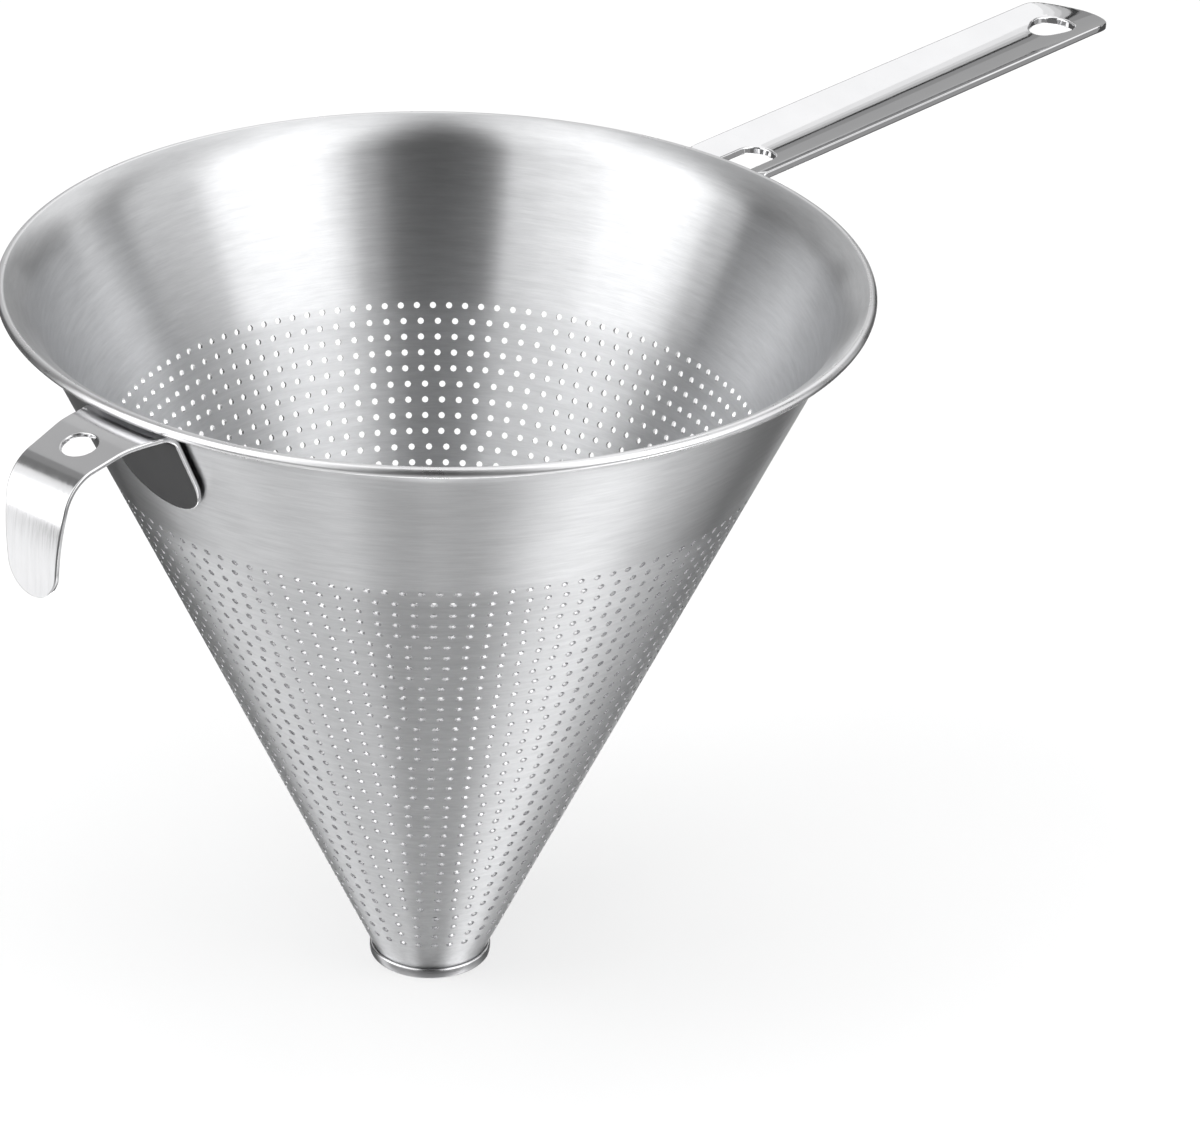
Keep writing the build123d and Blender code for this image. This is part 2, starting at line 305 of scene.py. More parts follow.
def mesh_object(bm, name, finishes):
    """Makes the mesh an object with its finishes."""
    mesh = bpy.data.meshes.new(name)
    bm.to_mesh(mesh)
    bm.free()
    for finish in finishes:
        mesh.materials.append(finish)
    return add_object(name, mesh)


def finish_piece(bm, name, finishes, slot, *nodes):
    """Makes the mesh a piece, smooth with sharp edges, that stands for CAD nodes."""
    bmesh.ops.recalc_face_normals(bm, faces=bm.faces)
    # The recalculation turns the thin bent hook inside out, which its signed volume shows
    if bm.calc_volume(signed=True) < 0:
        bmesh.ops.reverse_faces(bm, faces=bm.faces)
    piece = mesh_object(bm, name, finishes)
    piece.data.shade_smooth()
    piece.data.set_sharp_from_angle(angle=SHARP_EDGE)
    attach(piece, BODY)
    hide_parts(*nodes)
    return piece


def weight_normals(piece):
    """Lets the large faces of a strip set its shading, so that its flats look flat."""
    weighted = piece.modifiers.new("weighted_normals", "WEIGHTED_NORMAL")
    weighted.keep_sharp = True


def draw_ring(bm, edges, radius, height):
    """Draws a ring of edges out to a new radius and height, and returns the new ring."""
    made = bmesh.ops.extrude_edge_only(bm, edges=edges)["geom"]
    ring = set(new_verts(made))
    for vert in ring:
        azimuth = math.atan2(vert.co.y, vert.co.x)
        vert.co = on_ring(radius, azimuth, height)
    return [edge for edge in new_edges(made) if edge.verts[0] in ring and edge.verts[1] in ring]


def ring_at(bm, height):
    """The closed ring of open edges that lies at a height."""
    return [
        edge for edge in bm.edges
        if edge.is_boundary and all(abs(vert.co.z - height) < CLOSE for vert in edge.verts)
    ]


def widen_holes(bm, old, mouth, form):
    """Moves the outer rims of the holes outward from their centres, by what each vertex stores."""
    for vert in bm.verts:
        if vert not in old:
            azimuth = math.atan2(vert.co.y, vert.co.x)
            around, rise, _ = vert[mouth]
            vert.co += on_ring(around, azimuth + math.pi / 2, 0)
            vert.co += on_ring(math.sin(form.lean), azimuth, math.cos(form.lean)) * rise


def give_thickness(bm, sheet, layer):
    """Moves a copy of the sheet to where each vertex's stored lean points, and marks the cut faces."""
    old = set(bm.verts)
    bmesh.ops.extrude_face_region(bm, geom=bm.faces[:], use_keep_orig=True)
    for vert in bm.verts:
        if vert not in old:
            azimuth = math.atan2(vert.co.y, vert.co.x)
            lean = vert[layer]
            vert.co += on_ring(math.cos(lean), azimuth, -math.sin(lean)) * sheet
    for face in bm.faces:
        outside = sum(vert in old for vert in face.verts)
        if 0 < outside < len(face.verts):
            face.material_index = CUT_FACE
    return old


def mark_bead(bm, layer, angle):
    for face in bm.faces:
        if all(vert[layer] > angle for vert in face.verts):
            face.material_index = BEAD_FACE


# The perforated cone

class HolePattern:
    """Places of the punched rows on the inner face, worked out from the sizes."""

    def __init__(self, form, holes):
        self.form = form
        self.holes = holes
        self.step = holes.row_pitch * math.cos(form.lean)
        self.shift = form.sheet * math.sin(form.lean)
        self.top = self.height(0) + self.step / 2
        self.bottom = self.height(holes.rows - 1) - self.step / 2

    def height(self, row):
        return self.shift - self.holes.first_row_depth - row * self.step

    def group(self, row):
        return math.ceil(row / self.holes.rows_in_group)

    def ends_group(self, row):
        return row + 1 < self.holes.rows and self.group(row + 1) != self.group(row)

    def count(self, row):
        """The first row is a group by itself; a group is counted at its last row."""
        last_row = self.group(row) * self.holes.rows_in_group
        around = math.tau * self.form.outer_radius(self.height(last_row) - self.shift)
        return self.holes.count_step * round(around / (self.holes.pitch * self.holes.count_step))

    def start(self, row):
        """Azimuth of a row's first hole."""
        return self.holes.start_angle - self.holes.drift_angle * self.group(row)


def punch_tile(bm, mouth, centre, azimuth, width, top, bottom, form, holes):
    """One tile of the inner face with its hole: two loops, bridged and laid on the wall."""
    hole = bmesh.ops.create_circle(bm, cap_ends=False, radius=holes.radius, segments=holes.sides)["verts"]
    border = bmesh.ops.create_circle(bm, cap_ends=False, radius=1, segments=holes.sides)["verts"]
    loops = {edge for vert in hole + border for edge in vert.link_edges}
    bmesh.ops.bridge_loops(bm, edges=list(loops))
    for vert in hole:
        vert[mouth] = vert.co * holes.taper / holes.radius
        height = centre + vert.co.y * math.cos(form.lean)
        radius = form.inner_radius(height)
        vert.co = on_ring(radius, azimuth + vert.co.x / radius, height)
    for vert in border:
        longest = max(abs(vert.co.x), abs(vert.co.y))
        side, rise = vert.co.x / longest, vert.co.y / longest
        height = centre + (rise * (top - centre) if rise > 0 else rise * (centre - bottom))
        vert.co = on_ring(form.inner_radius(height), azimuth + side * width / 2, height)
    return hole + border


def punch_rows(bm, mouth, pattern):
    """All rows of holes, each spun from one tile."""
    form, holes = pattern.form, pattern.holes
    for row in range(holes.rows):
        count = pattern.count(row)
        width = math.tau / count
        centre = pattern.height(row)
        top, bottom = centre + pattern.step / 2, centre - pattern.step / 2
        if row and pattern.ends_group(row - 1):
            top -= holes.seam / 2
        if pattern.ends_group(row):
            bottom += holes.seam / 2
        tile = punch_tile(bm, mouth, centre, pattern.start(row), width, top, bottom, form, holes)
        faces = {face for vert in tile for face in vert.link_faces}
        edges = {edge for vert in tile for edge in vert.link_edges}
        bmesh.ops.spin(
            bm, geom=list(faces) + list(edges) + tile, cent=(0, 0, 0), axis=(0, 0, 1), dvec=(0, 0, 0),
            angle=math.tau - width, steps=count - 1, use_duplicate=True,
        )
    bmesh.ops.remove_doubles(bm, verts=bm.verts, dist=CLOSE)


def sector_of(edge, start, sectors):
    """Which sector of the circle an edge of a ring lies in, counted from a start."""
    middle = (edge.verts[0].co + edge.verts[1].co) / 2
    turn = (math.atan2(middle.y, middle.x) - start) % math.tau
    return int(turn / math.tau * sectors)


def close_seams(bm, pattern):
    """Bridges the plain strip between two groups, sector by sector, as their counts differ."""
    sectors, half_width = pattern.holes.count_step, pattern.holes.seam / 2
    for row in filter(pattern.ends_group, range(pattern.holes.rows)):
        seam = pattern.height(row) - pattern.step / 2
        sides = []
        for side_row, height in ((row, seam + half_width), (row + 1, seam - half_width)):
            start = pattern.start(side_row) - math.pi / pattern.count(side_row)
            sides += [(sector_of(edge, start, sectors), edge) for edge in ring_at(bm, height)]
        for sector in range(sectors):
            bmesh.ops.bridge_loops(bm, edges=[edge for place, edge in sides if place == sector])


def roll_rim(bm, form, cone, layer, top):
    """Draws the wall's upper ring through the flare and rolls it into the bead."""
    edges = ring_at(bm, top)
    flare_start = form.on_flare(form.lean)[1]
    for share in UPPER_BAND_CUTS:
        height = top + (flare_start - top) * share
        edges = draw_ring(bm, edges, form.inner_radius(height), height)
    for step in range(FLARE_STEPS + 1):
        angle = form.lean + cone.flare_turn * step / FLARE_STEPS
        edges = draw_ring(bm, edges, *form.on_flare(angle))
        mark_lean(edges, layer, angle)
    for step in range(1, BEAD_STEPS + 1):
        angle = form.flare_angle + (cone.roll_end - form.flare_angle) * step / BEAD_STEPS
        edges = draw_ring(bm, edges, *form.on_bead(angle))
        mark_lean(edges, layer, angle)


def mark_lean(edges, layer, angle):
    for edge in edges:
        for vert in edge.verts:
            vert[layer] = angle


def build_cone(form, cone, holes):
    """The whole sheet of the cone: punched wall, plain bands, flare and rolled rim."""
    bm = bmesh.new()
    layer = bm.verts.layers.float.new("sheet_lean")
    mouth = bm.verts.layers.float_vector.new("hole_mouth")
    pattern = HolePattern(form, holes)
    punch_rows(bm, mouth, pattern)
    close_seams(bm, pattern)
    for vert in bm.verts:
        vert[layer] = form.lean
    roll_rim(bm, form, cone, layer, pattern.top)
    edges = ring_at(bm, pattern.bottom)
    for share in LOWER_BAND_CUTS:
        height = pattern.bottom + (form.end_height + pattern.shift - pattern.bottom) * share
        edges = draw_ring(bm, edges, form.inner_radius(height), height)
        mark_lean(edges, layer, form.lean)
    old = give_thickness(bm, form.sheet, layer)
    widen_holes(bm, old, mouth, form)
    mark_bead(bm, layer, form.flare_angle - CLOSE)
    return bm


# The base cap

def build_cap(form, cap, holes):
    """The perforated cup with its rounded lower edge and crimped skirt."""
    bm = bmesh.new()
    layer = bm.verts.layers.float.new("sheet_lean")
    base = form.end_height - cap.sheet
    lip = base + cap.height
    outer = form.outer_radius(lip, cap.clearance) + cap.sheet
    reach = outer - cap.lower_round
    disc = bmesh.ops.create_circle(bm, cap_ends=False, radius=reach, segments=CAP_SIDES)["verts"]
    places = [(0, 0)]
    for ring in range(1, cap.hole_rings + 1):
        count = cap.holes_in_ring * ring
        places += [(holes.pitch * ring, math.tau * turn / count) for turn in range(count)]
    for place in places:
        bmesh.ops.create_circle(
            bm, cap_ends=False, radius=holes.radius, segments=CAP_HOLE_SIDES,
            matrix=Matrix.Translation(on_ring(*place, 0)),
        )
    bmesh.ops.triangle_fill(bm, use_beauty=True, use_dissolve=False, edges=bm.edges[:])
    bmesh.ops.translate(bm, vec=(0, 0, base), verts=bm.verts)
    for vert in bm.verts:
        vert[layer] = math.pi / 2
    edges = [edge for edge in ring_at(bm, base) if edge.verts[0] in disc]
    for step in range(1, CAP_ROUND_STEPS + 1):
        angle = math.pi / 2 * (1 - step / CAP_ROUND_STEPS)
        radius = outer - cap.lower_round * (1 - math.cos(angle))
        edges = draw_ring(bm, edges, radius, base + cap.lower_round * (1 - math.sin(angle)))
        mark_lean(edges, layer, angle)
    for height in (base + cap.height / 2, lip - cap.sheet / 2):
        edges = draw_ring(bm, edges, outer, height)
        mark_lean(edges, layer, 0)
    give_thickness(bm, -cap.sheet, layer)
    round_lip(bm, lip - cap.sheet / 2, outer - cap.sheet / 2, cap.sheet / 2)
    return bm


def round_lip(bm, height, middle, radius):
    """Raises the flat top of the skirt to a half round."""
    across = [
        edge for edge in bm.edges
        if all(abs(vert.co.z - height) < CLOSE for vert in edge.verts)
        and abs(edge.verts[0].co.xy.length - edge.verts[1].co.xy.length) > radius
    ]
    made = bmesh.ops.subdivide_edges(bm, edges=across, cuts=LIP_CUTS, use_grid_fill=True)["geom_inner"]
    for vert in new_verts(made):
        side = vert.co.xy.length - middle
        vert.co.z += math.sqrt(max(radius**2 - side**2, 0))
    # The lip's top keeps the bright polished colour; the rest of the cap gets the darker cap colour, which
    # is painted shade
    for face in bm.faces:
        face.material_index = LIP_FACE if all(vert.co.z > height - CLOSE for vert in face.verts) else 0


# Strips: cut flat, rounded at the edges, then bent

def even(start, step, count):
    return [start + step * turn for turn in range(count)]


class StripPath:
    """Side view of a strip that runs down the wall, bends and goes out below the bead."""

    def __init__(self, form, strips, sheet, bend):
        self.form = form
        self.top = -form.bead_radius - strips.under_bead_gap
        self.bend = bend + sheet
        self.centre_z = self.top - self.bend
        self.centre_x = form.outer_radius(self.centre_z, strips.wall_gap + self.bend)
        self.bend_run = self.bend * (math.pi / 2 - form.lean)

    def bend_cuts(self):
        return even(-self.bend_run, self.bend_run / BEND_STEPS, BEND_STEPS + 1)

    def at(self, run, depth):
        """Radius and height at a run along the top face, counted outward from the bend's end."""
        if run >= 0:
            return self.centre_x + run, self.top - depth
        if run > -self.bend_run:
            angle = math.pi / 2 - run / self.bend
            reach = self.bend - depth
            return self.centre_x + reach * math.cos(angle), self.centre_z + reach * math.sin(angle)
        angle = math.pi - self.form.lean
        reach = self.bend - depth
        down = -run - self.bend_run
        return (
            self.centre_x + reach * math.cos(angle) - down * math.sin(self.form.lean),
            self.centre_z + reach * math.sin(angle) - down * math.cos(self.form.lean),
        )


def draw_arc(bm, centre, radius, start, turn, steps):
    """An arc of edges spun from one vertex. Returns its first and last vertex."""
    middle = Vector((centre, 0, 0))
    first = bm.verts.new(middle + on_ring(radius, start, 0))
    made = bmesh.ops.spin(
        bm, geom=[first], cent=middle, axis=(0, 0, 1), dvec=(0, 0, 0), angle=turn, steps=steps,
        use_duplicate=False,
    )
    return first, new_verts(made["geom_last"])[0]


def join_chain(bm, verts):
    for first, second in zip(verts, verts[1:]):
        bm.edges.new((first, second))


def cut_blank(bm, sheet, edge_round, along, lengthwise=()):
    """Fills the drawn outline, gives it thickness, rounds its edges and cuts it across for bending."""
    bmesh.ops.triangle_fill(bm, use_beauty=True, use_dissolve=True, edges=bm.edges[:])
    bmesh.ops.dissolve_limit(
        bm, angle_limit=FLAT_EDGE, use_dissolve_boundaries=False, verts=bm.verts, edges=bm.edges
    )
    made = bmesh.ops.extrude_face_region(bm, geom=bm.faces[:], use_keep_orig=True)["geom"]
    bmesh.ops.translate(bm, vec=(0, 0, -sheet), verts=new_verts(made))
    bmesh.ops.recalc_face_normals(bm, faces=bm.faces)
    rims = [
        edge for edge in bm.edges
        if len({abs(face.normal.z) > LEVEL_FACE for face in edge.link_faces}) == 2
    ]
    bmesh.ops.bevel(
        bm, geom=rims, offset=edge_round, segments=EDGE_STEPS, profile=0.5, affect="EDGES", material=-1
    )
    for axis, places in (((1, 0, 0), along), ((0, 1, 0), lengthwise)):
        for place in places:
            geometry = bm.verts[:] + bm.edges[:] + bm.faces[:]
            bmesh.ops.bisect_plane(
                bm, geom=geometry, plane_co=Vector(axis) * place, plane_no=axis, dist=THIN
            )


def build_handle(form, strips):
    """The slotted and dished handle."""
    path = StripPath(form, strips, strips.handle_sheet, strips.handle_bend)
    half, slot = strips.width / 2, strips.slot_width / 2
    rim = form.bead_centre + form.bead_radius
    origin = path.centre_x
    end = rim + strips.handle_length - half - origin
    slot_end = rim + strips.slot_length - slot - origin
    root = -path.bend_run - strips.leg_length
    bm = bmesh.new()
    far_first, far_last = draw_arc(bm, end, half, -math.pi / 2, math.pi, STRIP_END_STEPS)
    slot_first, slot_last = draw_arc(bm, slot_end, slot, math.pi / 2, -math.pi, SLOT_STEPS)
    corners = [bm.verts.new((root, side, 0)) for side in (half, slot, -slot, -half)]
    join_chain(bm, [far_last, corners[0], corners[1], slot_first])
    join_chain(bm, [slot_last, corners[2], corners[3], far_first])
    wide_end = rim + strips.handle_length - strips.hang_hole_margin - strips.hang_hole_radius - origin
    toe_end = wide_end + strips.hang_hole_radius + strips.hang_hole_toe - strips.hang_hole_length
    tangent = math.acos((strips.hang_hole_toe - strips.hang_hole_radius) / (wide_end - toe_end))
    wide = draw_arc(bm, wide_end, strips.hang_hole_radius, -tangent, 2 * tangent, HANG_HOLE_STEPS)
    rest = math.tau - 2 * tangent
    toe = draw_arc(bm, toe_end, strips.hang_hole_toe, tangent, rest, HANG_TOE_STEPS)
    join_chain(bm, [wide[1], toe[0]])
    join_chain(bm, [toe[1], wide[0]])
    leg_step = strips.leg_length / LEG_STEPS
    along = path.bend_cuts() + even(root + leg_step, leg_step, LEG_STEPS - 1)
    along += even(CLOSE_CUT, CLOSE_CUT, CLOSE_CUTS)
    along += even(CLOSE_CUTS * CLOSE_CUT + DISH_CUT, DISH_CUT, DISH_CUTS)
    along += even(end + half - CLOSE_CUT, -TIP_CUT, TIP_CUTS)
    lengthwise = even(-SIDE_CUTS * SIDE_CUT, SIDE_CUT, 2 * SIDE_CUTS + 1)
    cut_blank(bm, strips.handle_sheet, strips.edge_round, along, lengthwise)

    flat_reach = rim + strips.flat_length
    dish_reach = flat_reach + strips.dish_run
    dish_radius = (half**2 + strips.dish_depth**2) / (2 * strips.dish_depth)
    tip_start = rim + strips.handle_length - strips.tip_run
    for vert in bm.verts:
        run, across, depth = vert.co.x, vert.co.y, -vert.co.z
        radius, height = path.at(run, depth)
        hug = min(max((flat_reach - radius) / (flat_reach - path.centre_x), 0), 1)
        x = radius + hug * (math.sqrt(radius**2 - across**2) - radius)
        if radius > flat_reach:
            share = min((radius - flat_reach) / (dish_reach - flat_reach), 1)
            share = share * share * (3 - 2 * share)
            edge = -strips.edge_drop + (radius - rim) * math.tan(strips.slope)
            dip = math.sqrt(dish_radius**2 - across**2) - (dish_radius - strips.dish_depth)
            fade = min(max((radius - tip_start) / strips.tip_run, 0), 1) ** 2
            edge -= strips.tip_drop * fade
            dip *= 1 - (1 - strips.tip_dish) * fade
            height += share * (edge - dip - path.top)
        vert.co = (x, across, height)
    return bm


class Bends:
    """A line in side view that starts level and follows straights and arcs downward."""

    def __init__(self, start, height, stretches):
        """Each stretch has a length and the angle that it ends at."""
        self.stretches = []
        place, angle = Vector((start, height)), 0.0
        for length, end_angle in stretches:
            self.stretches.append((place, angle, length, end_angle))
            place = self.along(place, angle, length, end_angle, length)
            angle = end_angle

    def along(self, place, angle, length, end_angle, run):
        turn = end_angle - angle
        if abs(turn) < CLOSE:
            return place + Vector((math.cos(angle), -math.sin(angle))) * run
        radius = length / turn
        now = angle + turn * run / length
        step = Vector((math.sin(now) - math.sin(angle), math.cos(now) - math.cos(angle)))
        return place + step * radius

    def at(self, run, depth):
        """Radius and height at a run along the line and a depth below it."""
        for place, angle, length, end_angle in self.stretches:
            if run <= length:
                break
            run -= length
        else:
            run += length
        now = angle + (end_angle - angle) * min(run / length, 1)
        spot = self.along(place, angle, length, end_angle, run)
        return spot.x - math.sin(now) * depth, spot.y - math.cos(now) * depth


def build_hook(form, strips):
    """The rest hook: round foot on the wall, strap with its hole, and the tongue."""
    path = StripPath(form, strips, strips.hook_sheet, strips.hook_bend)
    half, tip_half = strips.width / 2, strips.tip_radius
    rim = form.bead_centre + form.bead_radius
    origin = path.centre_x
    foot_rise = path.at(-path.bend_run, 0)[1] + strips.foot_depth
    foot = -path.bend_run - foot_rise / math.cos(form.lean)
    strap = rim + strips.hook_strap - origin
    fall_run = strips.hook_fall_radius * strips.hook_fall
    turn_run = strips.hook_turn_radius * (strips.hook_turn - strips.hook_fall)
    tongue_run = strips.tongue_radius * (strips.tongue_turn - strips.hook_turn)
    stretches = [
        (strap, 0.0),
        (fall_run, strips.hook_fall),
        (strips.hook_slope, strips.hook_fall),
        (turn_run, strips.hook_turn),
        (tongue_run, strips.tongue_turn),
    ]
    slope_start = strap + fall_run
    turn_start = slope_start + strips.hook_slope
    tongue_start = turn_start + turn_run
    tongue_end = Bends(origin, path.top, stretches).at(tongue_start + tongue_run, 0)[1]
    last_run = strips.tip_depth + tongue_end
    line = Bends(origin, path.top, stretches + [(last_run, strips.tongue_turn)])
    tip = tongue_start + tongue_run + last_run - tip_half

    bm = bmesh.new()
    foot_arc = draw_arc(bm, foot + half, half, math.pi / 2, math.pi, STRIP_END_STEPS)
    tip_arc = draw_arc(bm, tip, tip_half, -math.pi / 2, math.pi, HOOK_TIP_STEPS)
    sides = [
        (-HOOK_ROOT_RUN, half),
        (rim + HOOK_NECK_RUN - origin, strips.neck_half),
        (slope_start, strips.slope_half),
        (turn_start, strips.turn_half),
        (tongue_start, strips.tongue_half),
    ]
    lower = [bm.verts.new((run, -width, 0)) for run, width in sides]
    upper = [bm.verts.new((run, width, 0)) for run, width in reversed(sides)]
    join_chain(bm, [foot_arc[1], *lower, tip_arc[0]])
    join_chain(bm, [tip_arc[1], *upper, foot_arc[0]])
    bmesh.ops.create_circle(
        bm, cap_ends=False, radius=strips.hook_hole_radius, segments=HOOK_HOLE_SIDES,
        matrix=Matrix.Translation((strap + strips.hook_hole_run, 0, 0)),
    )
    along = path.bend_cuts() + even(strap, fall_run / HOOK_CURVE_STEPS, HOOK_CURVE_STEPS + 1)
    along += even(turn_start, turn_run / HOOK_TURN_STEPS, HOOK_TURN_STEPS + 1)
    along += even(tongue_start, tongue_run / HOOK_CURVE_STEPS, HOOK_CURVE_STEPS + 1)
    cut_blank(bm, strips.hook_sheet, strips.hook_sheet * HOOK_EDGE_SHARE, along)

    for vert in bm.verts:
        run, across, depth = vert.co.x, vert.co.y, -vert.co.z
        radius, height = line.at(run, depth) if run > 0 else path.at(run, depth)
        vert.co = (-radius, -across, height)
    return bm


# Finishes

BUMP_HEIGHT = 0.0001
SMEAR_SHARE = 0.03
GRAIN_SCALE = (900, 900, 900)
HAIR_SCALE = (400, 400, 400)


def add_node(tree, kind, sockets, **values):
    """Adds a node, with a value or another node's output for its sockets, and returns its outputs."""
    node = tree.nodes.new(kind)
    for name, value in values.items():
        setattr(node, name, value)
    for name, value in sockets.items():
        if isinstance(value, bpy.types.NodeSocket):
            tree.links.new(value, node.inputs[name])
        else:
            node.inputs[name].default_value = value
    return node.outputs


def empty_tree(owner):
    """The emptied node tree of a material or a world."""
    owner.use_nodes = True
    owner.node_tree.nodes.clear()
    return owner.node_tree


class Finish:
    """A node material under construction, with short calls for the nodes that repeat."""

    def __init__(self, name):
        self.material = bpy.data.materials.new(name)
        self.tree = empty_tree(self.material)
        self.place = self.add("ShaderNodeTexCoord", {})["Object"]

    def add(self, kind, sockets, **values):
        return add_node(self.tree, kind, sockets, **values)

    def stretched(self, scale):
        """The object's coordinates, scaled by axis."""
        return self.add("ShaderNodeMapping", {"Vector": self.place, "Scale": scale})[0]

    def around(self, along, up):
        """Coordinates that change slowly round the cone and quickly up it."""
        flat = self.add("ShaderNodeVectorMath", {0: self.place, 1: (1, 1, 0)}, operation="MULTIPLY")[0]
        unit = self.add("ShaderNodeVectorMath", {0: flat}, operation="NORMALIZE")[0]
        slow = self.add("ShaderNodeVectorMath", {0: unit, "Scale": along}, operation="SCALE")[0]
        rise = {0: self.place, 1: (0, 0, up), 2: slow}
        return self.add("ShaderNodeVectorMath", rise, operation="MULTIPLY_ADD")[0]

    def noise(self, vector, detail=4.0, roughness=0.6):
        sockets = {"Vector": vector, "Scale": 1.0, "Detail": detail, "Roughness": roughness}
        return self.add("ShaderNodeTexNoise", sockets)["Fac"]

    def spread(self, value, low, high, near=0.3, far=0.7):
        """A value brought from the range near..far to low..high."""
        sockets = {"Value": value, "From Min": near, "From Max": far, "To Min": low, "To Max": high}
        return self.add("ShaderNodeMapRange", sockets)["Result"]

    def by_height(self, bottom, top, low, high):
        """A value that goes from low to high between two heights of the piece."""
        height = self.add("ShaderNodeSeparateXYZ", {0: self.place})["Z"]
        return self.spread(height, low, high, bottom, top)

    def tinted(self, colour, value, low, high):
        """The colour, made a little darker or lighter by a value."""
        sockets = {0: colour, "Scale": self.spread(value, low, high)}
        return self.add("ShaderNodeVectorMath", sockets, operation="SCALE")[0]

    def bump(self, value, strength, **below):
        """Fine relief, over another one that is given as Normal."""
        sockets = {"Height": value, "Strength": strength, "Distance": BUMP_HEIGHT, **below}
        return self.add("ShaderNodeBump", sockets)["Normal"]

    def steel(self, colour, roughness, normal, **brushing):
        sockets = {"Base Color": colour, "Metallic": 1.0, "Roughness": roughness, "Normal": normal}
        surface = self.add("ShaderNodeBsdfPrincipled", {**sockets, **brushing})[0]
        self.add("ShaderNodeOutputMaterial", {"Surface": surface})
        return self.material


def brushed_cone_finish(colour):
    """Steel brushed round the cone, smoother in its plain band, with faint smears and fine lines."""
    finish = Finish("brushed_cone_steel")
    lines = finish.noise(finish.around(along=4.0, up=3000.0), detail=2.0)
    bands = finish.noise(finish.around(along=7.0, up=900.0), detail=5.0, roughness=0.7)
    smears = finish.noise(finish.around(along=9.0, up=90.0), detail=5.0)
    tone = finish.tinted(tuple(colour), bands, low=0.90, high=1.06)
    brushed = finish.by_height(bottom=-0.044, top=-0.038, low=0.37, high=0.285)
    sockets = {0: smears, 1: SMEAR_SHARE, 2: brushed}
    mixed = finish.add("ShaderNodeMath", sockets, operation="MULTIPLY_ADD")[0]
    normal = finish.bump(bands, strength=0.12, Normal=finish.bump(lines, strength=0.25))
    tangent = finish.add("ShaderNodeTangent", {}, direction_type="RADIAL", axis="Z")[0]
    brushing = {"Anisotropic": 0.96, "Anisotropic Rotation": 0.25, "Tangent": tangent}
    return finish.steel(tone, mixed, normal, **brushing)


def polished_finish(name, colour, roughness, scale=HAIR_SCALE):
    """Bright steel with faint hairlines and hand marks."""
    finish = Finish(name)
    hairs = finish.noise(finish.stretched(scale), detail=3.0)
    marks = finish.noise(finish.stretched((60, 60, 60)), detail=6.0)
    tone = finish.tinted(tuple(colour), marks, low=0.97, high=1.02)
    rough = finish.spread(marks, low=roughness * 0.8, high=roughness * 1.3)
    return finish.steel(tone, rough, finish.bump(hairs, strength=0.05))


def satin_finish(name, colour, roughness, scale):
    """Duller steel with brush lines, which the scale stretches."""
    finish = Finish(name)
    lines = finish.noise(finish.stretched(scale))
    marks = finish.noise(finish.stretched((45, 45, 45)), detail=6.0)
    tone = finish.tinted(tuple(colour), marks, low=0.95, high=1.03)
    rough = finish.spread(lines, low=roughness * 0.8, high=roughness * 1.25)
    return finish.steel(tone, rough, finish.bump(lines, strength=0.10))


def weld_finish(colour):
    """Dull, slightly stained steel of a spot weld."""
    finish = Finish("weld_steel")
    grain = finish.noise(finish.stretched(GRAIN_SCALE), detail=5.0)
    tone = finish.tinted(tuple(colour), grain, low=0.8, high=1.1)
    rough = finish.spread(grain, low=0.4, high=0.6)
    return finish.steel(tone, rough, finish.bump(grain, strength=0.3))


# The stage

# The camera as fitted to the photograph: millimetres, radians and metres
CAMERA_LENS = 142.486
SENSOR_WIDTH = 36.0
CAMERA_PITCH = 0.47949
CAMERA_YAW = 0.03924
CAMERA_ROLL = 0.03016
CAMERA_BACK = 0.989596
CAMERA_HEIGHT = 0.441221
CLIP_START = 0.05
CLIP_END = 50
SHOT_TURN = math.radians(47)
FLOOR_SIDE = 12.0
FLOOR_GLOW = 0.6
FILL_LEVEL = 0.55
TENT_RADIUS = 2.5
TENT_STEP = 6


def shot_direction(azimuth):
    """A direction of the shot in the row frame: 0 is right of the camera, 90 beyond the object."""
    return math.radians(azimuth) - SHOT_TURN


def place_camera():
    """The camera at the photograph's place and angle."""
    data = bpy.data.cameras.new("shot_camera")
    data.lens = CAMERA_LENS
    data.sensor_width = SENSOR_WIDTH
    data.clip_start = CLIP_START
    data.clip_end = CLIP_END
    camera = add_object("shot_camera", data)
    level = math.cos(CAMERA_PITCH)
    ahead = Vector((math.sin(CAMERA_YAW) * level, math.cos(CAMERA_YAW) * level, -math.sin(CAMERA_PITCH)))
    right = Vector((math.cos(CAMERA_YAW), -math.sin(CAMERA_YAW), 0))
    above = right.cross(ahead)
    side = right * math.cos(CAMERA_ROLL) + above * math.sin(CAMERA_ROLL)
    up = above * math.cos(CAMERA_ROLL) - right * math.sin(CAMERA_ROLL)
    turn = Matrix((side, up, -ahead)).transposed().to_4x4()
    shot = Matrix.Rotation(-SHOT_TURN, 4, "Z")
    camera.matrix_world = shot @ Matrix.Translation((0, -CAMERA_BACK, CAMERA_HEIGHT)) @ turn
    bpy.context.scene.camera = camera


def seen_directly(tree):
    """1 for rays that come from the camera, from gloss or through glass, and 0 for others."""
    path = add_node(tree, "ShaderNodeLightPath", {})
    sockets = {0: path["Is Camera Ray"], 1: path["Is Glossy Ray"]}
    opaque = add_node(tree, "ShaderNodeMath", sockets, operation="MAXIMUM")[0]
    sockets = {0: opaque, 1: path["Is Transmission Ray"]}
    return add_node(tree, "ShaderNodeMath", sockets, operation="MAXIMUM")[0]


